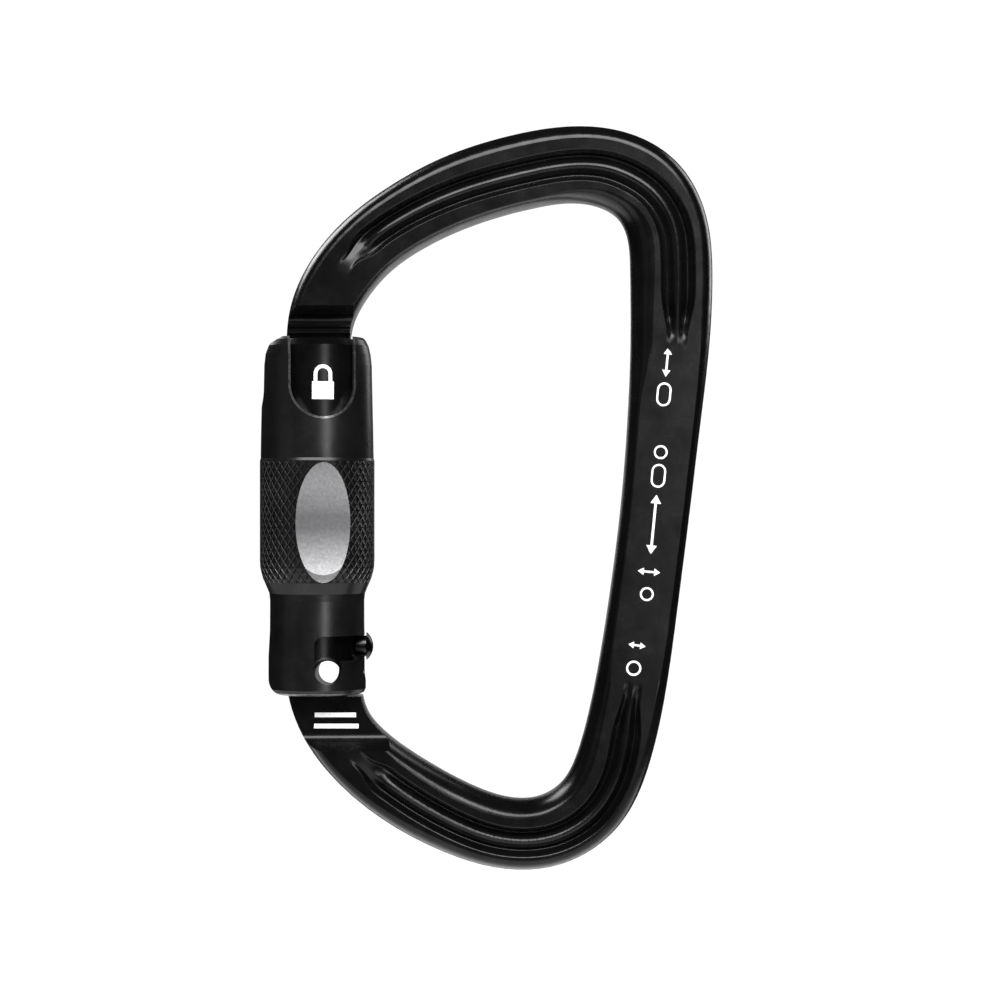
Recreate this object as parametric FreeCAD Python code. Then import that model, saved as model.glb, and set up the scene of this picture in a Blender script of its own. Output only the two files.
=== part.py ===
import FreeCAD, Part
import math
import os

# Auto-locking offset-D carabiner, all sizes in millimetres.
# +Z runs up the closed carabiner, +X points from the gate to the spine, the front face looks to -Y.
# The origin is under the middle of the outline, at the lowest point of the bottom bend.

V = FreeCAD.Vector
os.makedirs("parts", exist_ok=True)

# ---- frame -------------------------------------------------------------------------------------
THICK = 12.0             # forged bar thickness, front to back
TONGUE_T = 6.0           # hinge tongue between the gate ears
NECK_T = 5.2             # neck right above the gate
NOSE_BULB_T = 4.8        # wide foot of the nose
NOSE_STEM_T = 3.2        # narrow stem of the nose
NOSE_X0, NOSE_X1 = -30.3, -22.4
NOSE_Z0 = 75.3           # underside of the nose
NOSE_SHOULDER_Z = 78.3   # shoulders of the bulb, caught by the gate when the gate is loaded
NECK_Z = 82.1            # underside of the neck step, just above the gate

# centre line of the bar from the neck, over the top, down the spine and round to the tongue:
# x, z and width of the bar in the plane of the frame
STATIONS = [
    (-25.9, 74.5, 9.7),
    (-25.85, 79.5, 9.7),
    (-25.4, 84.4, 9.9),
    (-22.9, 90.2, 10.2),
    (-18.2, 95.8, 10.3),
    (-12.0, 100.3, 10.6),
    (-4.4, 104.1, 11.1),
    (4.5, 106.9, 11.3),
    (12.6, 108.15, 11.5),
    (19.3, 107.35, 12.0),
    (24.6, 104.3, 12.4),
    (27.6, 98.9, 12.5),
    (28.4, 91.5, 12.6),
    (28.2, 80.8, 12.1),
    (27.3, 69.0, 11.2),
    (25.9, 55.0, 10.6),
    (24.1, 40.8, 10.6),
    (22.1, 27.8, 10.9),
    (19.8, 17.9, 11.0),
    (15.9, 9.9, 10.9),
    (9.7, 5.9, 10.8),
    (2.9, 5.5, 10.8),
    (-4.6, 7.8, 11.0),
    (-12.0, 11.7, 11.1),
    (-18.6, 16.6, 10.6),
    (-22.9, 21.8, 10.5),
    (-24.6, 26.4, 11.2),
    (-24.9, 32.0, 11.4),
]

# twin-groove troughs milled in both faces: start and end as distances along the centre line
TROUGH_TOP = (19.5, 94.5)
TROUGH_LOW = (148.0, 206.0)
TROUGH_DEPTH = 1.75
RIDGE_DROP = 0.65        # ridge between the grooves lies this far below the flanges
SPOON_LEN = 5.0          # round run-out of the cutter near the gate
POINT_LEN = 7.5          # run-out on the spine, where the grooves close in on the ridge
# the troughs wander across the bar: distance along the line, offset towards the outside
TROUGH_OFFSET = [(0, 0.0), (20, -0.2), (50, -1.0), (66, -0.5), (79, 0.7), (100, 0.7), (130, 0.0),
                 (148, 0.1), (161, 1.0), (180, 0.6), (206, 0.0), (230, 0.0)]
# where the flat faces end, as shares of the bar width from its middle: distance, outside, inside
FACE_EDGES = [(0, 0.34, 0.40), (20, 0.28, 0.44), (50, 0.273, 0.45), (66, 0.30, 0.33), (79, 0.34, 0.22),
              (95, 0.345, 0.25), (106, 0.355, 0.355), (138, 0.355, 0.355), (150, 0.34, 0.30),
              (161, 0.335, 0.27), (190, 0.305, 0.265), (206, 0.33, 0.33), (230, 0.34, 0.38)]

SPINE_FLAT_Z = (29.2, 78.8)
SPINE_SKIM = 0.03        # depth ground off each face of the spine

# ---- hinge -------------------------------------------------------------------------------------
HINGE_X, HINGE_Z = -24.14, 30.15
SWING_MAX = 26.0         # degrees
RIVET_R, RIVET_BORE_R = 2.30, 1.95
RIVET_FLARE = 0.43       # widening of the rivet ends, set into the ears of the gate
BACK_WINDOW_R = 2.55     # round window at the back of the sleeve, behind the rivet
FIT = 0.06               # radial running clearance of turned parts
TONGUE_TIP_R = 3.8
TONGUE_RIGHT = 2.7       # inner edge of the tongue inside the sleeve, from the hinge axis
TONGUE_LEFT = -5.7
LEDGE_Z = 26.55          # ledge of the frame right under the sleeve

# ---- gate --------------------------------------------------------------------------------------
AXIS_X = -26.03          # common axis of gate and sleeve
GATE_R = 5.90
GATE_HEAD_R = 6.94
GATE_HEAD_Z = 62.0       # shoulder under the head, upper seat of the sleeve spring
GATE_TOP = 81.2
GATE_BOTTOM = 27.0
SLOT_R = 4.15            # round ceiling of the slot between the ears
PLUNGER_R = 1.50
PLUNGER_TIP_R = 1.00
PLUNGER_C0 = 3.85        # height of the tip centre over the hinge axis, gate closed
PLUNGER_STROKE = 0.50
PLUNGER_GAP = 0.03
GATE_BORE_TOP = 54.0

# ---- guide peg ---------------------------------------------------------------------------------
PEG_Z = 34.15
PEG_R = 1.60
PEG_SHANK_R = 0.80
PEG_CAP_R = 2.15          # domed cap outside the sleeve
PEG_CAP_BASE, PEG_CAP_TOP = 7.60, 8.62

# ---- sleeve ------------------------------------------------------------------------------------
SLEEVE_BOTTOM, SLEEVE_TOP = 26.9, 81.5
SLEEVE_LOW_R = 7.48
SLEEVE_GRIP_R = 8.80
SLEEVE_BORE_R = 5.96
CHAMBER_R = 7.00
CHAMBER_Z = 45.2         # ledge that carries the thrust washer
LIFT_MAX = 3.6
WINDOW_W = 9.6           # U-shaped windows front and back
WINDOW_BOTTOM = 69.2
WINDOW_AZIMUTH = -79.5
NOSE_SLOT_W = 5.8        # slot that lets the nose out when the gate swings
NOSE_SLOT_BOTTOM = 70.6
LEG_TOP, LEG_FOOT, LEG_END = 35.95, 32.15, 28.65
LEG_AZIMUTH = -73.0      # where the upright leg of the guide slot sits, and so the twist range
LEG_W = 4.2
SCOOP_Z, SCOOP_HALF, SCOOP_DEPTH = 53.2, 9.2, 1.05
RIM_RELIEF_R = 2.7

# ---- springs and washer ------------------------------------------------------------------------
WASHER_T = 0.8
SLEEVE_SPRING_R, SLEEVE_WIRE = 6.52, 0.60
GATE_SPRING_R, GATE_WIRE = 1.12, 0.42


def save(shape, name):
    shape.exportStep("parts/" + name + ".step")


def cyl(r, z0, z1, x=AXIS_X, y=0.0):
    return Part.makeCylinder(r, z1 - z0, V(x, y, z0), V(0, 0, 1))


def box(x0, x1, y0, y1, z0, z1):
    return Part.makeBox(x1 - x0, y1 - y0, z1 - z0, V(x0, y0, z0))


def revolve(points, x=AXIS_X):
    """Turned solid about the vertical axis through x; points are (radius, height)."""
    wire = Part.makePolygon([V(x + r, 0, z) for r, z in points] + [V(x + points[0][0], 0, points[0][1])])
    return Part.Face(wire).revolve(V(x, 0, 0), V(0, 0, 1), 360)


def side_cut(profile, x0, x1):
    """Front and back cutter from a (half thickness, z) outline, run along X.

    An entry with three points is an arc: start is the last point, then a point on it and its end."""
    here = profile[0]
    edges = []
    for step in profile[1:] + [profile[0]]:
        ends = step if isinstance(step[0], tuple) else (step,)
        pts = [V(x0, -h, z) for h, z in (here,) + tuple(ends)]
        edges.append(Part.makeLine(*pts) if len(pts) == 2 else Part.Arc(*pts).toShape())
        here = ends[-1]
    front = Part.Face(Part.Wire(edges)).extrude(V(x1 - x0, 0, 0))
    back = front.mirror(V(0, 0, 0), V(0, 1, 0))
    return [front, back]


# ================================================================================================
# frame
# ================================================================================================
def centre_line():
    """Spline through the stations; its Y value carries the width of the bar."""
    pts = [V(x, w, z) for x, z, w in STATIONS]
    along = [0.0]
    for a, b in zip(STATIONS, STATIONS[1:]):
        along.append(along[-1] + math.hypot(b[0] - a[0], b[1] - a[1]))
    curve = Part.BSplineCurve()
    curve.interpolate(Points=pts, Parameters=along)
    return curve, along[-1]


def smooth(t):
    t = min(1.0, max(0.0, t))
    return t * t * (3 - 2 * t)


def between(table, s, column=1):
    """Smoothly blended value of a table at distance s."""
    for low, high in zip(table, table[1:]):
        if low[0] <= s <= high[0]:
            return low[column] + (high[column] - low[column]) * smooth((s - low[0]) / (high[0] - low[0]))
    return table[-1][column]


def trough_at(s):
    """Shares (0..1) of the trough at distance s: depth, width, and how far its ridge is cut down."""
    for (s0, s1), spoon_first in ((TROUGH_TOP, True), (TROUGH_LOW, False)):
        if s0 < s < s1:
            from_spoon = s - s0 if spoon_first else s1 - s
            from_point = s1 - s if spoon_first else s - s0
            a = min(1.0, from_spoon / SPOON_LEN)
            b = min(1.0, from_point / POINT_LEN)
            spoon = math.sqrt(1 - (1 - a) ** 2)
            depth = min(math.sqrt(smooth(a)), smooth(b * 2.2))
            share = min(spoon, 0.6 + 0.4 * smooth(b))
            flush = RIDGE_DROP / TROUGH_DEPTH * smooth(b * 0.8)
            scooped = 1.0 - smooth((from_spoon - 1.5) / 6.0)
            return depth, share, flush + (0.9 - flush) * scooped
    return 0.0, 0.6, RIDGE_DROP / TROUGH_DEPTH


def bezier(points):
    curve = Part.BezierCurve()
    curve.setPoles(points)
    return curve.toShape()


def bar_section(curve, s):
    """Closed outline of the bar: rounded sides, flat faces, a ridge between two grooves."""
    point, slope = curve.getD1(s)
    w = point.y
    c = V(point.x, 0, point.z)
    t = V(slope.x, 0, slope.z)
    t.normalize()
    n = V(-t.z, 0, t.x)
    depth, share, cut_down = trough_at(s)
    h = THICK / 2
    full = 0.215 * w
    b = full * share
    u0 = between(TROUGH_OFFSET, s)
    d = max(TROUGH_DEPTH * depth, 0.002)
    ridge = d * cut_down
    half = w / 2

    def p(u, v):
        return c + n * u + V(0, v, 0)

    def edge(sign):
        """Where the flat face turns into the rounded side, outside (+1) or inside (-1)."""
        return w * between(FACE_EDGES, s, 1 if sign > 0 else 2)

    def side(sign):
        e = edge(sign)
        return [(sign * half, 0), (sign * half, 0.64 * h), (sign * (e + 0.5 * (half - e)), h), (sign * e, h)]

    def groove(sign):
        low = 0.58 * b
        wall = [(b, h), (0.80 * b, h - 0.04 * d), (low + 0.20 * b, h - d), (low, h - d)]
        rise = [(low, h - d), (low - 0.20 * b, h - d), (0.30 * b, h - ridge), (0, h - ridge)]
        return [[(u0 + sign * u, v) for u, v in piece] for piece in (wall, rise)]

    def face():
        """One face of the bar from the outside to the inside."""
        out = groove(1)
        inner = [list(reversed(piece)) for piece in reversed(groove(-1))]
        lands = [[(edge(1), h), (u0 + b, h)], [(u0 - b, h), (-edge(-1), h)]]
        return [side(1), lands[0]] + out + inner + [lands[1], list(reversed(side(-1)))]

    front = face()
    back = [[(u, -v) for u, v in reversed(piece)] for piece in reversed(front)]
    rows = front + back
    edges = []
    for row in rows:
        pts = [p(u, v) for u, v in row]
        edges.append(Part.makeLine(pts[0], pts[1]) if len(pts) == 2 else bezier(pts))
    return Part.Wire(edges)


def frame_bar():
    curve, length = centre_line()
    steps = 88
    return Part.makeLoft([bar_section(curve, length * i / steps) for i in range(steps + 1)], True, False)


def tongue_tip():
    """Hinge end of the frame: left edge, plunger cam, round tip, straight inner edge."""
    reach = PLUNGER_TIP_R + PLUNGER_GAP
    offset = AXIS_X - HINGE_X
    rate = PLUNGER_STROKE / math.radians(SWING_MAX)
    cam = []
    for i in range(9):
        q = math.radians(SWING_MAX) * i / 8.0
        height = PLUNGER_C0 + rate * q
        px = offset * math.cos(q) + height * math.sin(q)
        pz = height * math.cos(q) - offset * math.sin(q)
        dx = -offset * math.sin(q) + rate * math.sin(q) + height * math.cos(q)
        dz = rate * math.cos(q) - height * math.sin(q) - offset * math.cos(q)
        k = math.hypot(dx, dz)
        cam.append((px + reach * dz / k, pz - reach * dx / k))
    first, second = cam[0], cam[1]
    slope = (second[1] - first[1]) / (second[0] - first[0])
    lead = (-4.4, first[1] + slope * (-4.4 - first[0]))
    last = math.atan2(cam[-1][1], cam[-1][0])
    right = math.acos(TONGUE_RIGHT / TONGUE_TIP_R)
    tip_r = math.hypot(*cam[-1])

    def at(p):
        return V(HINGE_X + p[0], -TONGUE_T / 2, HINGE_Z + p[1])

    def on_tip(a):
        return (tip_r * math.cos(a), tip_r * math.sin(a))

    right = math.acos(TONGUE_RIGHT / tip_r)
    low = LEDGE_Z - 0.5 - HINGE_Z
    curve = Part.BSplineCurve()
    curve.interpolate([at(p) for p in cam])
    edges = [
        Part.makeLine(at((TONGUE_LEFT, low)), at((TONGUE_LEFT, -3.4))),
        Part.makeLine(at((TONGUE_LEFT, -3.4)), at(lead)),
        Part.makeLine(at(lead), at(cam[0])),
        curve.toShape(),
        Part.Arc(at(cam[-1]), at(on_tip((last + right) / 2)), at(on_tip(right))).toShape(),
        Part.makeLine(at(on_tip(right)), at((TONGUE_RIGHT, low))),
        Part.makeLine(at((TONGUE_RIGHT, low)), at((TONGUE_LEFT, low))),
    ]
    return Part.Face(Part.Wire(edges)).extrude(V(0, TONGUE_T, 0))


def make_frame():
    bar = frame_bar()
    h = THICK / 2 + 1.0
    # recess on both faces of the tongue, with a round root and a steep ramp to full thickness
    t = TONGUE_T / 2
    root = [(t, 45.0), (t, 20.95), ((t + 0.33, 20.15), (t + 1.1, 19.75)), (6.3, 18.3), (h, 18.3), (h, 45.0)]
    cuts = side_cut(root, -45.0, -5.0)
    # steps on both faces of the neck
    n = NECK_T / 2
    neck = [(h, 86.35), (6.3, 86.35), (n + 1.7, 84.8), ((n + 0.85, 84.4), (n + 0.55, 83.65)), (n + 0.5, 83.25)]
    neck += [(n + 0.36, 83.02), ((n + 0.1, 82.75), (n, 82.3)), (n, 70.0), (h, 70.0)]
    cuts += side_cut(neck, -45.0, -10.0)
    # everything of the bar above the ledge belongs to the shaped tongue tip
    cuts.append(box(-45.0, -14.0, -h, h, LEDGE_Z, 60.0))
    # nose: straight inner edge, narrow stem over a wide foot
    cuts.append(box(NOSE_X1, -10.0, -h, h, 70.0, NECK_Z - 0.9))
    cuts.append(box(-45.0, NOSE_X0, -h, h, 70.0, NECK_Z - 0.9))
    cuts.append(box(-45.0, -10.0, -h, h, 60.0, NOSE_Z0))
    b = NOSE_BULB_T / 2
    s = NOSE_STEM_T / 2
    stem = [(s, NECK_Z), (s, NOSE_SHOULDER_Z), (b, NOSE_SHOULDER_Z), (b, 70.0), (h, 70.0), (h, NECK_Z)]
    cuts += side_cut(stem, -45.0, -10.0)
    body = bar.cut(cuts)
    body = body.fuse(tongue_tip())
    hole = Part.makeCylinder(RIVET_R + FIT, 20.0, V(HINGE_X, -10.0, HINGE_Z), V(0, 1, 0))
    body = body.cut(hole)
    # both faces of the spine are ground flat
    low, high = SPINE_FLAT_Z
    skim = THICK / 2 - SPINE_SKIM
    flats = [box(12.0, 40.0, -h, -skim, low, high), box(12.0, 40.0, skim, h, low, high)]
    return body.cut(flats).removeSplitter()


# ================================================================================================
# gate and the parts that ride in it
# ================================================================================================
def flared(r):
    """Rod along the hinge axis that widens where it passes through the gate's ears."""
    wide = r + RIVET_FLARE
    pts = [(0, -9.0), (wide, -9.0), (wide, -6.4), (r, -4.0), (r, 4.0), (wide, 6.4), (wide, 9.0), (0, 9.0)]
    outline = [V(HINGE_X + a, b, HINGE_Z) for a, b in pts]
    return Part.Face(Part.makePolygon(outline + [outline[0]])).revolve(V(HINGE_X, 0, HINGE_Z), V(0, 1, 0), 360)


def make_gate():
    c = 0.5
    body = revolve([
        (0, GATE_BOTTOM), (GATE_R - c, GATE_BOTTOM), (GATE_R, GATE_BOTTOM + c), (GATE_R, GATE_HEAD_Z),
        (GATE_HEAD_R, GATE_HEAD_Z), (GATE_HEAD_R, GATE_TOP - 1.0), (GATE_HEAD_R - 1.0, GATE_TOP), (0, GATE_TOP),
    ])
    w = TONGUE_T / 2 + 0.06
    ceiling = Part.makeCylinder(SLOT_R, 2 * w, V(HINGE_X, -w, HINGE_Z), V(0, 1, 0))
    opening = box(HINGE_X - 12, HINGE_X + 12, -w, w, HINGE_Z - 9, HINGE_Z + 0.6)
    shoulder = box(HINGE_X - 12, HINGE_X, -w, w, HINGE_Z - 9, HINGE_Z + 1.4)
    rivet = flared(RIVET_R)
    bore = cyl(PLUNGER_R + FIT, HINGE_Z + 2.0, GATE_BORE_TOP)
    # T-slot for the nose, open to the outside and to the top
    gap = 0.15
    stem = box(-45.0, NOSE_X1 + 0.35, -NOSE_STEM_T / 2 - gap, NOSE_STEM_T / 2 + gap, NOSE_SHOULDER_Z, 90.0)
    foot_half = NOSE_BULB_T / 2 + gap
    foot = box(-45.0, NOSE_X1 + 0.35, -foot_half, foot_half, NOSE_Z0 - 1.3, NOSE_SHOULDER_Z + 0.2)
    shank = Part.makeCylinder(PEG_SHANK_R, 6.0, V(peg_root_x(), 0, PEG_Z), V(1, 0, 0))
    return body.cut([ceiling, opening, shoulder, rivet, bore, stem, foot, shank]).removeSplitter()


def peg_root_x():
    """The blind hole of the peg stops just outside the round slot ceiling."""
    drop = PEG_Z - PEG_SHANK_R - HINGE_Z
    return HINGE_X + math.sqrt(SLOT_R ** 2 - drop ** 2) + 0.08


def make_rivet():
    tube = flared(RIVET_R).common(cyl(GATE_R - 0.02, 20.0, 40.0))
    return tube.cut(flared(RIVET_BORE_R))


def make_plunger():
    z = HINGE_Z + PLUNGER_C0
    ball = Part.makeSphere(PLUNGER_TIP_R, V(AXIS_X, 0, z))
    stem = revolve([(0, z), (PLUNGER_TIP_R, z), (PLUNGER_TIP_R, z + 0.6), (PLUNGER_R, z + 1.1),
                    (PLUNGER_R, z + 4.6), (PLUNGER_R - 0.2, z + 4.8), (0.62, z + 4.8), (0.62, z + 10.6),
                    (0.42, z + 10.8), (0, z + 10.8)])
    return ball.fuse(stem).removeSplitter()


def coil(r, wire, x, z0, z1, turns):
    """Round-wire spring with closed ends, wire centre line from z0 to z1."""
    helix = Part.makeLongHelix((z1 - z0) / turns, z1 - z0, r)
    ring = Part.Wire(Part.makeCircle(wire / 2, V(r, 0, 0), V(0, 1, 0)))
    body = Part.Wire(helix.Edges).makePipeShell([ring], True, True)
    body.translate(V(x, 0, z0))
    return body


def make_gate_spring():
    z0 = HINGE_Z + PLUNGER_C0 + 4.8 + GATE_WIRE / 2 + 0.02
    return coil(GATE_SPRING_R, GATE_WIRE, AXIS_X, z0, GATE_BORE_TOP - GATE_WIRE / 2 - 0.05, 11)


def make_peg():
    base = AXIS_X + GATE_R
    shank = Part.makeCylinder(PEG_SHANK_R, base - peg_root_x() + 0.4, V(peg_root_x(), 0, PEG_Z), V(1, 0, 0))
    start = base + 0.12
    head = Part.makeCylinder(PEG_R, AXIS_X + PEG_CAP_BASE + 0.2 - start, V(start, 0, PEG_Z), V(1, 0, 0))
    high = PEG_CAP_TOP - PEG_CAP_BASE
    ball_r = (PEG_CAP_R ** 2 + high ** 2) / (2 * high)
    dome = Part.makeSphere(ball_r, V(AXIS_X + PEG_CAP_TOP - ball_r, 0, PEG_Z))
    dome = dome.common(Part.makeCylinder(4.0, 4.0, V(AXIS_X + PEG_CAP_BASE, 0, PEG_Z), V(1, 0, 0)))
    return shank.fuse([head, dome]).removeSplitter()


# ================================================================================================
# sleeve, its washer and its spring
# ================================================================================================
def turned_to(shape, azimuth):
    """Rotate a cutter made along +X to the given azimuth about the sleeve axis."""
    shape.rotate(V(AXIS_X, 0, 0), V(0, 0, 1), azimuth)
    return shape


def slot_cutter(width, bottom, top):
    """Upright round-bottomed slot through the wall at azimuth 0."""
    r = width / 2
    body = box(AXIS_X + 3.0, AXIS_X + 14.0, -r, r, bottom + r, top)
    end = Part.makeCylinder(r, 11.0, V(AXIS_X + 3.0, 0, bottom + r), V(1, 0, 0))
    return body.fuse(end)


def make_sleeve():
    g = SLEEVE_GRIP_R
    low = SLEEVE_LOW_R
    outer = [
        (low - 0.75, SLEEVE_BOTTOM), (low - 0.25, SLEEVE_BOTTOM + 0.25), (low, SLEEVE_BOTTOM + 0.8),
        (low, 32.6), (low - 0.22, 36.6), (low - 0.24, 41.2), (low - 0.12, 42.3), (low + 0.25, 43.2),
        (low + 0.85, 44.6), (g - 0.2, 45.6),
        (g - 0.05, 46.3), (g, 47.3), (g, 62.6), (g - 0.12, 63.0), (8.62, 67.0), (8.46, 74.0),
        (8.40, 77.2), (8.22, 78.9), (7.92, 80.2), (7.5, 81.05), (7.2, 81.4), (7.0, SLEEVE_TOP),
    ]
    inner = [
        (CHAMBER_R, CHAMBER_Z), (SLEEVE_BORE_R, CHAMBER_Z), (SLEEVE_BORE_R, SLEEVE_BOTTOM + 0.4),
        (SLEEVE_BORE_R + 0.35, SLEEVE_BOTTOM),
    ]
    body = revolve(outer + inner)
    cuts = [turned_to(slot_cutter(WINDOW_W, WINDOW_BOTTOM, 90.0), WINDOW_AZIMUTH + a) for a in (0, 180)]
    # nose slot on the outside, flared at its mouth
    mouth = [(-2.8, 78.6), (2.8, 78.6), (4.2, 82.0), (-4.2, 82.0)]
    pts = [V(AXIS_X + 3.0, y, z) for y, z in mouth]
    flare = Part.Face(Part.makePolygon(pts + [pts[0]])).extrude(V(11.0, 0, 0))
    nose = slot_cutter(NOSE_SLOT_W, NOSE_SLOT_BOTTOM, 90.0).fuse(flare)
    cuts.append(turned_to(nose, 180))
    # guide slot: level leg from the peg to the front, upright legs at both ends
    level = Part.makeCylinder(14.0, LEG_TOP - LEG_FOOT, V(AXIS_X, 0, LEG_FOOT), V(0, 0, 1), -LEG_AZIMUTH)
    level.rotate(V(AXIS_X, 0, 0), V(0, 0, 1), LEG_AZIMUTH)
    level = level.cut(cyl(3.0, LEG_FOOT - 1, LEG_TOP + 1))
    r = LEG_W / 2
    for azimuth in (0, LEG_AZIMUTH):
        cuts.append(turned_to(slot_cutter(LEG_W, LEG_END, LEG_TOP - 1.4), azimuth))
        cap = box(AXIS_X + 3.0, AXIS_X + 14.0, -r, r, LEG_TOP - 2.4, LEG_TOP)
        corner = [e for e in cap.Edges if abs(e.Length - 11.0) < 1e-6 and e.BoundBox.ZMin > LEG_TOP - 0.1]
        cuts.append(turned_to(cap.makeFillet(1.38, corner), azimuth))
    cuts.append(level)
    # round window on the back, in line with the hollow rivet
    cuts.append(Part.makeCylinder(BACK_WINDOW_R, 12.0, V(HINGE_X, 2.0, HINGE_Z), V(0, 1, 0)))
    # thumb and finger scoops in line with the windows
    for turn in (0, 180):
        big = (SCOOP_HALF ** 2 + SCOOP_DEPTH ** 2) / (2 * SCOOP_DEPTH)
        scoop = Part.makeCylinder(big, 24.0, V(AXIS_X + g - SCOOP_DEPTH + big, -12.0, SCOOP_Z), V(0, 1, 0))
        cuts.append(turned_to(scoop, WINDOW_AZIMUTH + turn))
    # rounded relief of the rim on the outside of the carabiner
    r = RIM_RELIEF_R
    corner = V(AXIS_X - low + r, -10.0, SLEEVE_BOTTOM + r)
    relief = box(AXIS_X - 12, corner.x, -10.0, 10.0, SLEEVE_BOTTOM - 2, corner.z)
    cuts.append(relief.cut(Part.makeCylinder(r, 20.0, corner, V(0, 1, 0))))
    # sloped shoulder above it
    top = SLEEVE_TOP
    slope = [(-30.6, top + 0.15), (-33.5, top - 1.25), (-34.35, top - 2.5), (-37.0, top - 2.5),
             (-37.0, top + 2.0), (-30.6, top + 2.0)]
    shoulder = Part.makePolygon([V(x, -12.0, z) for x, z in slope + slope[:1]])
    cuts.append(Part.Face(shoulder).extrude(V(0, 24.0, 0)))
    return body.cut(cuts).removeSplitter()


def make_washer():
    z0 = CHAMBER_Z + 0.02
    return cyl(CHAMBER_R - 0.08, z0, z0 + WASHER_T).cut(cyl(GATE_R + 0.08, z0 - 1, z0 + WASHER_T + 1))


def make_sleeve_spring():
    half = SLEEVE_WIRE / 2
    z0 = CHAMBER_Z + 0.02 + WASHER_T + half + 0.02
    return coil(SLEEVE_SPRING_R, SLEEVE_WIRE, AXIS_X, z0, GATE_HEAD_Z - half - 0.03, 7)


PIECES = [
    ("frame", make_frame),
    ("gate_body", make_gate),
    ("hinge_rivet", make_rivet),
    ("gate_plunger", make_plunger),
    ("gate_spring", make_gate_spring),
    ("guide_peg", make_peg),
    ("locking_sleeve", make_sleeve),
    ("thrust_washer", make_washer),
    ("sleeve_spring", make_sleeve_spring),
]

for name, maker in PIECES:
    shape = maker()
    solids = shape.Solids
    if len(solids) == 1:
        shape = solids[0]
    print(name, len(solids), shape.isValid(), round(shape.Volume, 2), shape.BoundBox)
    save(shape, name)
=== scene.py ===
import bpy
import bmesh
import math
from mathutils import Matrix, Vector


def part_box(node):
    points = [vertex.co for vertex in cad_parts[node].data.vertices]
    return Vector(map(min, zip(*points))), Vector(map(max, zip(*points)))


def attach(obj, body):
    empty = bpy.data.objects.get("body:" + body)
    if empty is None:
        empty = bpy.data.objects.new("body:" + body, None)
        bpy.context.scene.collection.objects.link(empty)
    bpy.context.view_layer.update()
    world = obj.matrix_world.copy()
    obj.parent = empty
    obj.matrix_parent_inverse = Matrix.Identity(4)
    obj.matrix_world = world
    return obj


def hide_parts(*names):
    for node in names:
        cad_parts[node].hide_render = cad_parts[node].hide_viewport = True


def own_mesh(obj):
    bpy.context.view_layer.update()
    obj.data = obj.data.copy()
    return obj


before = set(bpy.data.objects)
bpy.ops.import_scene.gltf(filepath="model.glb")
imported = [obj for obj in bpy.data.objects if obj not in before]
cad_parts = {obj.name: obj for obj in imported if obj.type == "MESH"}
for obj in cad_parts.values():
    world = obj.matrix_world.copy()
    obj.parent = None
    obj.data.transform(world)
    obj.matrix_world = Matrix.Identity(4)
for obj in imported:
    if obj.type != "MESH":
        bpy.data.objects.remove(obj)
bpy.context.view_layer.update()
MM = 0.001

# places taken from the CAD nodes
WASHER_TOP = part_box("thrust_washer")[1][2]
AXIS = Vector((-26.03, 0.0, 0.0)) * MM
HINGE = Vector((-24.14, 0.0, 30.15)) * MM


# ---- node helpers ------------------------------------------------------------------------------
def new_material(name):
    m = bpy.data.materials.new(name)
    m.use_nodes = True
    nt = m.node_tree
    nt.nodes.clear()
    out = nt.nodes.new("ShaderNodeOutputMaterial")
    bsdf = nt.nodes.new("ShaderNodeBsdfPrincipled")
    nt.links.new(bsdf.outputs["BSDF"], out.inputs["Surface"])
    return m, nt, bsdf


def coords(nt):
    return nt.nodes.new("ShaderNodeTexCoord").outputs["Object"]


def noise(nt, scale, detail=3.0, rough=0.55, stretch=None):
    n = nt.nodes.new("ShaderNodeTexNoise")
    n.inputs["Scale"].default_value = scale
    n.inputs["Detail"].default_value = detail
    n.inputs["Roughness"].default_value = rough
    src = coords(nt)
    if stretch:
        mp = nt.nodes.new("ShaderNodeMapping")
        mp.inputs["Scale"].default_value = stretch
        nt.links.new(src, mp.inputs["Vector"])
        src = mp.outputs["Vector"]
    nt.links.new(src, n.inputs["Vector"])
    return n.outputs["Fac"]


def ramp(nt, fac, stops):
    r = nt.nodes.new("ShaderNodeValToRGB")
    el = r.color_ramp.elements
    while len(el) < len(stops):
        el.new(0.5)
    for e, (pos, col) in zip(el, stops):
        e.position = pos
        c = col if isinstance(col, tuple) else (col, col, col)
        e.color = (*c, 1.0)
    nt.links.new(fac, r.inputs["Fac"])
    return r.outputs["Color"]


def math_node(nt, op, a, b=None, c=None):
    n = nt.nodes.new("ShaderNodeMath")
    n.operation = op
    for i, v in enumerate((a, b, c)):
        if v is None:
            continue
        if isinstance(v, (int, float)):
            n.inputs[i].default_value = v
        else:
            nt.links.new(v, n.inputs[i])
    return n.outputs[0]


def mix_rgb(nt, fac, a, b):
    n = nt.nodes.new("ShaderNodeMix")
    n.data_type = "RGBA"
    for key, v in (("Factor", fac), ("A", a), ("B", b)):
        idx = {"Factor": 0, "A": 6, "B": 7}[key]
        if isinstance(v, (int, float)):
            n.inputs[idx].default_value = v
        elif isinstance(v, tuple):
            n.inputs[idx].default_value = (*v, 1.0)
        else:
            nt.links.new(v, n.inputs[idx])
    return n.outputs[2]


def bump(nt, bsdf, height, strength, distance, after=None):
    n = nt.nodes.new("ShaderNodeBump")
    n.inputs["Strength"].default_value = strength
    n.inputs["Distance"].default_value = distance
    nt.links.new(height, n.inputs["Height"])
    if after is not None:
        nt.links.new(after, n.inputs["Normal"])
    nt.links.new(n.outputs["Normal"], bsdf.inputs["Normal"])
    return n.outputs["Normal"]


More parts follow.
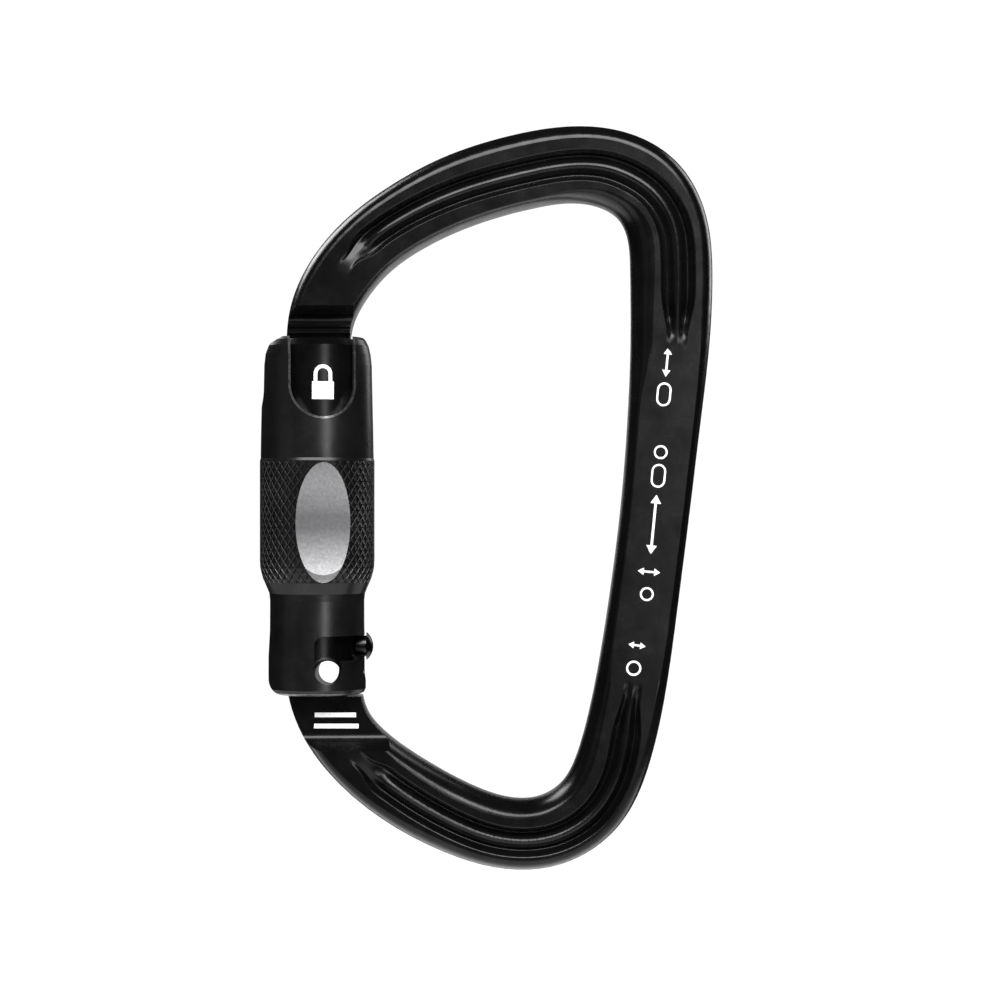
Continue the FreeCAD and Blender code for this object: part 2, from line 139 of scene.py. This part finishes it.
def black_anodised(name, base, rough, grain=(1.0, 1.0, 1.0), grain_scale=2600.0, grain_bump=0.10):
    m, nt, b = new_material(name)
    tone = ramp(nt, noise(nt, 160.0, 4.0), [(0.35, base * 0.78), (0.65, base * 1.22)])
    speck = ramp(nt, noise(nt, 5200.0, 2.0), [(0.70, 0.0), (0.80, 1.0)])
    tone = mix_rgb(nt, math_node(nt, "MULTIPLY", speck, 0.35), tone, (base * 3.2, base * 3.2, base * 3.3))
    nt.links.new(tone, b.inputs["Base Color"])
    b.inputs["Metallic"].default_value = 0.85
    b.inputs["IOR"].default_value = 1.55
    wear = ramp(nt, noise(nt, 420.0, 5.0), [(0.3, rough[0]), (0.7, rough[1])])
    nt.links.new(wear, b.inputs["Roughness"])
    bump(nt, b, noise(nt, grain_scale, 3.0, 0.6, grain), grain_bump, 0.00003)
    return m


def bare_metal(name, colour, rough=(0.22, 0.36), scale=1500.0, stretch=(1.0, 1.0, 1.0), strength=0.15):
    m, nt, b = new_material(name)
    dark = tuple(c * 0.78 for c in colour)
    tone = ramp(nt, noise(nt, 700.0, 4.0), [(0.3, dark), (0.7, colour)])
    nt.links.new(tone, b.inputs["Base Color"])
    b.inputs["Metallic"].default_value = 1.0
    nt.links.new(ramp(nt, noise(nt, 900.0, 3.0), [(0.3, rough[0]), (0.7, rough[1])]), b.inputs["Roughness"])
    bump(nt, b, noise(nt, scale, 3.0, 0.6, stretch), strength, 0.00004)
    return m


def sleeve_finish(name, axis):
    """Turned black sleeve: diamond knurl on the grip, blasted grey in the two scoops with painted shade
    towards their middles.
    """
    m = black_anodised(name, 0.028, (0.26, 0.34), (1.0, 1.0, 9.0), 900.0, 0.10)
    nt = m.node_tree
    b = next(n for n in nt.nodes if n.type == "BSDF_PRINCIPLED")
    sep = nt.nodes.new("ShaderNodeSeparateXYZ")
    nt.links.new(coords(nt), sep.inputs[0])
    x = math_node(nt, "SUBTRACT", sep.outputs[0], axis.x)
    y = math_node(nt, "SUBTRACT", sep.outputs[1], axis.y)
    z = math_node(nt, "SUBTRACT", sep.outputs[2], axis.z)
    square = math_node(nt, "ADD", math_node(nt, "MULTIPLY", x, x), math_node(nt, "MULTIPLY", y, y))
    radius = math_node(nt, "SQRT", square)
    ca, sa = math.cos(math.radians(SCOOP_AZIMUTH)), math.sin(math.radians(SCOOP_AZIMUTH))
    across = math_node(nt, "SUBTRACT", math_node(nt, "MULTIPLY", y, ca), math_node(nt, "MULTIPLY", x, sa))
    u = math_node(nt, "DIVIDE", across, SCOOP_HALF_W)
    v = math_node(nt, "DIVIDE", math_node(nt, "SUBTRACT", z, SCOOP_Z), SCOOP_HALF_H)
    oval = math_node(nt, "ADD", math_node(nt, "MULTIPLY", u, u), math_node(nt, "MULTIPLY", v, v))
    outer = math_node(nt, "GREATER_THAN", radius, SKIN_R)
    scoop = math_node(nt, "MULTIPLY", math_node(nt, "LESS_THAN", oval, 1.0), outer)
    low = math_node(nt, "GREATER_THAN", z, KNURL_LOW)
    high = math_node(nt, "LESS_THAN", z, KNURL_HIGH)
    band = math_node(nt, "MULTIPLY", math_node(nt, "MULTIPLY", low, high), outer)
    knurled = math_node(nt, "MULTIPLY", band, math_node(nt, "SUBTRACT", 1.0, scoop))
    angle = math_node(nt, "MULTIPLY", math_node(nt, "ARCTAN2", y, x), KNURL_COUNT)
    climb = math_node(nt, "MULTIPLY", z, 2 * math.pi / KNURL_PITCH)
    one = math_node(nt, "COSINE", math_node(nt, "ADD", angle, climb))
    two = math_node(nt, "COSINE", math_node(nt, "SUBTRACT", angle, climb))
    cut = math_node(nt, "MAXIMUM", one, two)
    cut = ramp(nt, cut, [(0.30, 1.0), (0.95, 0.0)])
    height = math_node(nt, "MULTIPLY", cut, knurled)
    # painted highlight: a lighter band round the U windows and along the lower rim stands for light caught
    # by the chamfers
    zc = WINDOW_BOTTOM + WINDOW_HALF
    under = math_node(nt, "MINIMUM", math_node(nt, "SUBTRACT", z, zc), 0.0)
    across2 = math_node(nt, "MULTIPLY", across, across)
    to_mid = math_node(nt, "ADD", across2, math_node(nt, "MULTIPLY", under, under))
    off = math_node(nt, "ABSOLUTE", math_node(nt, "SUBTRACT", math_node(nt, "SQRT", to_mid), WINDOW_HALF))
    near = math_node(nt, "LESS_THAN", off, CHAMFER_W)
    tall = math_node(nt, "GREATER_THAN", z, WINDOW_BOTTOM - 0.0005)
    window = math_node(nt, "MULTIPLY", near, tall)
    rim = math_node(nt, "MAXIMUM", window, math_node(nt, "LESS_THAN", z, RIM_TOP))
    grain = b.inputs["Normal"].links[0].from_socket
    bump(nt, b, height, 1.0, 0.00040, grain)
    old = b.inputs["Base Color"].links[0].from_socket
    speck = ramp(nt, noise(nt, 2600.0, 4.0), [(0.3, (0.19, 0.19, 0.194)), (0.7, (0.28, 0.28, 0.285))])
    # painted shade: the blasted grey in each scoop is darker towards the scoop's middle and lighter towards
    # its top and bottom, standing in for how the curved scoop is lit
    scoop_painted_shade = ramp(nt, math_node(nt, "ABSOLUTE", v), [(0.10, 0.25), (0.75, 1.0)])
    scoop_grey_with_painted_shade = mix_rgb(nt, scoop_painted_shade, (0.035, 0.035, 0.037), speck)
    finish = mix_rgb(nt, scoop, old, scoop_grey_with_painted_shade)
    # painted highlight: lighter grey on the window and rim bands in place of chamfer highlights
    chamfer_painted_highlight = ramp(nt, noise(nt, 1400.0, 3.0), [(0.35, (0.09, 0.09, 0.092)), (0.65, (0.22, 0.22, 0.225))])
    nt.links.new(mix_rgb(nt, rim, finish, chamfer_painted_highlight), b.inputs["Base Color"])
    rough = b.inputs["Roughness"].links[0].from_socket
    matt = ramp(nt, noise(nt, 1800.0, 3.0), [(0.3, 0.30), (0.7, 0.38)])
    nt.links.new(mix_rgb(nt, scoop, rough, matt), b.inputs["Roughness"])
    return m


def white_ink(name):
    m, nt, b = new_material(name)
    tone = ramp(nt, noise(nt, 3000.0, 3.0), [(0.25, 0.70), (0.5, 0.92)])
    nt.links.new(tone, b.inputs["Base Color"])
    nt.links.new(ramp(nt, noise(nt, 1200.0), [(0.3, 0.45), (0.7, 0.6)]), b.inputs["Roughness"])
    bump(nt, b, noise(nt, 4000.0), 0.1, 0.00002)
    return m


def plastic(name, colour):
    m, nt, b = new_material(name)
    tone = ramp(nt, noise(nt, 500.0), [(0.3, tuple(c * 0.9 for c in colour)), (0.7, colour)])
    nt.links.new(tone, b.inputs["Base Color"])
    nt.links.new(ramp(nt, noise(nt, 1500.0), [(0.3, 0.38), (0.7, 0.5)]), b.inputs["Roughness"])
    bump(nt, b, noise(nt, 3500.0), 0.12, 0.00002)
    return m


FRAME_MAT = black_anodised("frame_black_anodised", 0.015, (0.22, 0.29))
GATE_MAT = black_anodised("gate_black_turned", 0.011, (0.24, 0.32), (1.0, 1.0, 9.0), 900.0, 0.10)
KNURL_COUNT = 42.0             # ridges round the grip
KNURL_PITCH = 1.75 * MM        # height of one diamond
KNURL_LOW, KNURL_HIGH = 44.0 * MM, 62.5 * MM
SKIN_R = 7.3 * MM              # anything further out is the outside of the sleeve
CHAMFER_W = 0.32 * MM
RIM_TOP = 27.22 * MM           # top of the chamfer along the lower rim
SCOOP_AZIMUTH = -79.5
WINDOW_BOTTOM, WINDOW_HALF = 69.2 * MM, 4.8 * MM
SCOOP_Z, SCOOP_HALF_W, SCOOP_HALF_H = 53.2 * MM, 4.15 * MM, 9.1 * MM
sleeve_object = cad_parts["locking_sleeve"]
SLEEVE_MAT = sleeve_finish("sleeve_black_knurled", sleeve_object.matrix_world.inverted() @ AXIS)
RIVET_MAT = bare_metal("rivet_black_steel", (0.05, 0.05, 0.053), (0.28, 0.40))
PEG_MAT = bare_metal("peg_black_steel", (0.035, 0.035, 0.037), (0.20, 0.30))
PLUNGER_MAT = bare_metal("plunger_steel", (0.50, 0.50, 0.51))
SPRING_MAT = bare_metal("spring_wire", (0.55, 0.55, 0.56), (0.18, 0.30), 1200.0, (1, 1, 6), 0.1)
WASHER_MAT = plastic("washer_acetal", (0.80, 0.78, 0.72))
INK_MAT = white_ink("white_laser_marking")


def paint(node, mat):
    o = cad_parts[node]
    if not o.data.materials:
        o.data.materials.append(mat)
    for s in o.material_slots:
        s.material = mat


for node, mat in (
    ("frame", FRAME_MAT), ("gate_body", GATE_MAT), ("hinge_rivet", RIVET_MAT),
    ("gate_plunger", PLUNGER_MAT), ("gate_spring", SPRING_MAT), ("guide_peg", PEG_MAT),
    ("locking_sleeve", SLEEVE_MAT),
    ("thrust_washer", WASHER_MAT), ("sleeve_spring", SPRING_MAT),
):
    paint(node, mat)


# ---- coil springs, carried by the gate body ----------------------------------------------------
def coil(name, r, wire, z0, z1, turns, closed, mat):
    """Round-wire spring as a mesh: closed end turns, even pitch between them."""
    steps, ring = 48, 10
    total = turns + 2 * closed
    count = int(total * steps)
    verts, faces = [], []
    span = z1 - z0 - 2 * closed * wire
    centre = []
    for i in range(count + 1):
        t = i / steps
        if t < closed:
            z = z0 + wire * t
        elif t > turns + closed:
            z = z1 - wire * (total - t)
        else:
            z = z0 + wire * closed + span * (t - closed) / turns
        a = 2 * math.pi * t
        centre.append(Vector((AXIS.x + r * math.cos(a), r * math.sin(a), z)))
    for i, p in enumerate(centre):
        q = centre[min(i + 1, count)] - centre[max(i - 1, 0)]
        q.normalize()
        out = Vector((p.x - AXIS.x, p.y, 0)).normalized()
        side = q.cross(out).normalized()
        for k in range(ring):
            b = 2 * math.pi * k / ring
            verts.append(p + (out * math.cos(b) + side * math.sin(b)) * wire / 2)
    for i in range(count):
        for k in range(ring):
            a0, a1 = i * ring + k, i * ring + (k + 1) % ring
            faces.append((a0, a1, a1 + ring, a0 + ring))
    faces.append(tuple(range(ring - 1, -1, -1)))
    faces.append(tuple(count * ring + k for k in range(ring)))
    me = bpy.data.meshes.new(name)
    me.from_pydata(verts, [], faces)
    me.materials.append(mat)
    for p in me.polygons:
        p.use_smooth = True
    o = bpy.data.objects.new(name, me)
    bpy.context.collection.objects.link(o)
    return o


big_foot = WASHER_TOP + 0.32 * MM
big = coil("sleeve_return_spring", 6.52 * MM, 0.60 * MM, big_foot, 61.67 * MM, 6, 1, SPRING_MAT)
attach(big, "gate")
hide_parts("sleeve_spring")
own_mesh(big)
plunger_top = HINGE.z + (3.85 + 4.8) * MM
small_foot = plunger_top + 0.23 * MM
small = coil("gate_closing_spring", 1.12 * MM, 0.42 * MM, small_foot, 53.76 * MM, 10, 1, SPRING_MAT)
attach(small, "gate")
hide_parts("gate_spring")
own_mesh(small)


# ---- printed pictograms ------------------------------------------------------------------------
def decal(name, outlines, place, body, cuts=0, thick=0.03 * MM):
    """Thin printed shapes from 2D outlines (mm); place maps (u, v, height) to the row frame."""
    bm = bmesh.new()
    for outline in outlines:
        vs = [bm.verts.new((u, v, 0.0)) for u, v in outline]
        bm.faces.new(vs)
    bmesh.ops.triangulate(bm, faces=bm.faces[:])
    for _ in range(cuts):
        bmesh.ops.subdivide_edges(bm, edges=bm.edges[:], cuts=1, use_grid_fill=True)
        bmesh.ops.triangulate(bm, faces=bm.faces[:])
    res = bmesh.ops.extrude_face_region(bm, geom=bm.faces[:])
    raised = [g for g in res["geom"] if isinstance(g, bmesh.types.BMVert)]
    for v in raised:
        v.co.z = 1.0
    for v in bm.verts:
        u, w, h = v.co.x, v.co.y, v.co.z
        v.co = place(u, w, thick * h)
    bmesh.ops.recalc_face_normals(bm, faces=bm.faces[:])
    me = bpy.data.meshes.new(name)
    bm.to_mesh(me)
    bm.free()
    me.materials.append(INK_MAT)
    o = bpy.data.objects.new(name, me)
    bpy.context.collection.objects.link(o)
    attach(o, body)
    return o


def on_face(cx, cz, angle, side=-1):
    """Flat placement on the front or back of the frame, turned by angle degrees."""
    ca, sa = math.cos(math.radians(angle)), math.sin(math.radians(angle))

    def place(u, v, h):
        x = cx + (u * ca - v * sa)
        z = cz + (u * sa + v * ca)
        return Vector((x * MM, side * (5.973 * MM + h), z * MM))
    return place


def on_drum(radius, azimuth, cz):
    """Wrapped placement on a cylinder about the sleeve axis; u runs to the right seen from outside."""
    def place(u, v, h):
        a = math.radians(azimuth) + u / radius
        r = (radius + 0.004) * MM + h
        return Vector((AXIS.x + r * math.cos(a), r * math.sin(a), (cz + v) * MM))
    return place


def rect(u0, v0, u1, v1):
    return [(u0, v0), (u1, v0), (u1, v1), (u0, v1)]


def arc_band(cu, cv, r0, r1, a0, a1, n=16):
    """Closed band between two radii, as quads."""
    quads = []
    for i in range(n):
        p = math.radians(a0 + (a1 - a0) * i / n)
        q = math.radians(a0 + (a1 - a0) * (i + 1) / n)
        quads.append([
            (cu + r0 * math.cos(p), cv + r0 * math.sin(p)), (cu + r1 * math.cos(p), cv + r1 * math.sin(p)),
            (cu + r1 * math.cos(q), cv + r1 * math.sin(q)), (cu + r0 * math.cos(q), cv + r0 * math.sin(q)),
        ])
    return quads


def double_arrow(length, width, head):
    """Slim two-headed arrow along u."""
    h = length / 2
    bar = rect(-h + head, -width / 2, h - head, width / 2)
    left = [(-h, 0), (-h + head, -head * 0.62), (-h + head, head * 0.62)]
    right = [(h, 0), (h - head, head * 0.62), (h - head, -head * 0.62)]
    return [bar, left, right]


def shifted(outlines, du, dv):
    return [[(u + du, v + dv) for u, v in o] for o in outlines]


def turned(outlines, deg):
    c, s = math.cos(math.radians(deg)), math.sin(math.radians(deg))
    return [[(u * c - v * s, u * s + v * c) for u, v in o] for o in outlines]


# padlock on the gate head, seen through the window of the sleeve
LOCK_R = 6.94
lock = [rect(-1.66, -1.34, 1.66, 1.34)]
lock += arc_band(0, 2.50, 0.86, 1.40, 0, 180, 20)
lock += [rect(-1.40, 1.34, -0.86, 2.50), rect(0.86, 1.34, 1.40, 2.50)]
decal("padlock_marking", lock, on_drum(LOCK_R, -90 + math.degrees(1.37 / LOCK_R), 73.2), "gate", cuts=2)


def ring(cu, cv, r, w, n=20):
    return arc_band(cu, cv, r - w, r, 0, 360, n)


def loop_icon(length, width, w):
    """Small closed-loop symbol, long side along u."""
    h, r = length / 2, width / 2
    sides = [rect(-h + r, r - w, h - r, r), rect(-h + r, -r, h - r, -r + w)]
    ends = arc_band(h - r, 0, r - w, r, -90, 90, 12) + arc_band(-h + r, 0, r - w, r, 90, 270, 12)
    return sides + ends


def on_tongue(cx, cz):
    def place(u, v, h):
        return Vector(((cx + u) * MM, -3.003 * MM - h, (cz + v) * MM))
    return place


bars = [rect(-3.3, 0.55, 3.0, 1.25), rect(-3.4, -1.15, 3.4, -0.45)]
decal("tongue_marks", bars, on_tongue(-22.9, 22.9), "frame")


# strength-rating symbols down the spine: loop and arrow signs only
SPINE = 84.4
upper = loop_icon(3.6, 2.2, 0.28) + shifted(double_arrow(4.4, 0.3, 1.0), 4.9, 0)
decal("spine_marks_upper", upper, on_face(26.9, 72.6, SPINE), "frame")
middle = double_arrow(9.0, 0.36, 1.3)
middle += shifted(turned(double_arrow(3.4, 0.3, 0.9), 90), -7.2, 0)
middle += shifted(loop_icon(3.6, 2.2, 0.28), 7.4, 0)
middle += shifted(ring(0, 0, 1.05, 0.28), 11.0, 0) + shifted(ring(0, 0, 1.05, 0.28), -10.6, 0)
decal("spine_marks_middle", middle, on_face(25.35, 52.9, SPINE), "frame")
lower = ring(-1.9, 0, 1.15, 0.3) + shifted(turned(double_arrow(2.6, 0.28, 0.8), 90), 1.6, 0)
decal("spine_marks_lower", lower, on_face(22.6, 33.0, SPINE - 2.5), "frame")


# ---- camera, floor, light ----------------------------------------------------------------------
CENTRE = Vector((0.00208, 0.0, 0.0566))
DIST = 0.385


def aim(o, target):
    o.rotation_euler = (Vector(target) - o.location).to_track_quat("-Z", "Y").to_euler()


cam = bpy.data.cameras.new("camera")
cam.sensor_width = 36.0
cam.lens = 36.0 * DIST / 0.15385
cam.clip_start = 0.01
cam_o = bpy.data.objects.new("camera", cam)
cam_o.location = CENTRE + Vector((0, -DIST, 0))
cam_o.rotation_euler = (math.radians(90), 0, 0)
bpy.context.collection.objects.link(cam_o)
bpy.context.scene.camera = cam_o


def area(name, loc, target, size, power, size_y=None):
    d = bpy.data.lights.new(name, "AREA")
    d.energy = power
    d.shape = "RECTANGLE" if size_y else "SQUARE"
    d.size = size
    if size_y:
        d.size_y = size_y
    o = bpy.data.objects.new(name, d)
    o.location = loc
    aim(o, target)
    bpy.context.collection.objects.link(o)
    o.visible_camera = False
    return o


T = (0.0, 0.0, 0.057)
area("top_soft", (0.0, -0.36, 0.42), T, 0.60, 6.0, 0.24)
area("front_high", (0.03, -0.52, 0.36), T, 0.30, 0.25, 0.10)
area("left_soft", (-0.50, -0.22, 0.10), T, 0.34, 0.10, 0.5)
area("sleeve_strip", (0.14, -0.385, 0.10), T, 0.10, 0.62, 0.34)
area("back_fill", (0.0, 0.80, 0.05), T, 0.36, 0.25, 0.36)
area("back_left", (-0.40, 0.45, 0.45), T, 0.30, 1.6, 0.30)
area("back_right", (0.40, 0.50, 0.30), T, 0.20, 0.6, 0.40)

world = bpy.data.worlds.new("studio")
bpy.context.scene.world = world
world.use_nodes = True
wn = world.node_tree
wn.nodes.clear()
w_out = wn.nodes.new("ShaderNodeOutputWorld")
w_mix = wn.nodes.new("ShaderNodeMixShader")
w_lp = wn.nodes.new("ShaderNodeLightPath")
w_seen = wn.nodes.new("ShaderNodeBackground")
w_seen.inputs["Color"].default_value = (1, 1, 1, 1)
w_seen.inputs["Strength"].default_value = 1.05
w_dim = wn.nodes.new("ShaderNodeBackground")
w_dim.inputs["Color"].default_value = (0.9, 0.95, 1, 1)
w_dim.inputs["Strength"].default_value = 0.012
wn.links.new(w_lp.outputs["Is Camera Ray"], w_mix.inputs[0])
wn.links.new(w_dim.outputs[0], w_mix.inputs[1])
wn.links.new(w_seen.outputs[0], w_mix.inputs[2])
wn.links.new(w_mix.outputs[0], w_out.inputs["Surface"])

FLOOR_HALF, FLOOR_Z = 0.7, -0.3
fm, fnt, fb = new_material("floor_pale")
tone = ramp(fnt, noise(fnt, 6.0), [(0.3, 0.88), (0.7, 0.92)])
fnt.links.new(tone, fb.inputs["Base Color"])
fb.inputs["Roughness"].default_value = 0.9
fb.inputs["Emission Color"].default_value = (1.0, 1.0, 1.0, 1.0)
fb.inputs["Emission Strength"].default_value = 0.7
fme = bpy.data.meshes.new("floor")
f = FLOOR_HALF
corners = [(-f, -f), (f, -f), (f, f), (-f, f)]
fme.from_pydata([(x, y, FLOOR_Z) for x, y in corners], [], [(0, 1, 2, 3)])
fme.materials.append(fm)
floor = bpy.data.objects.new("floor", fme)
bpy.context.collection.objects.link(floor)

bpy.context.scene.view_settings.view_transform = "Standard"
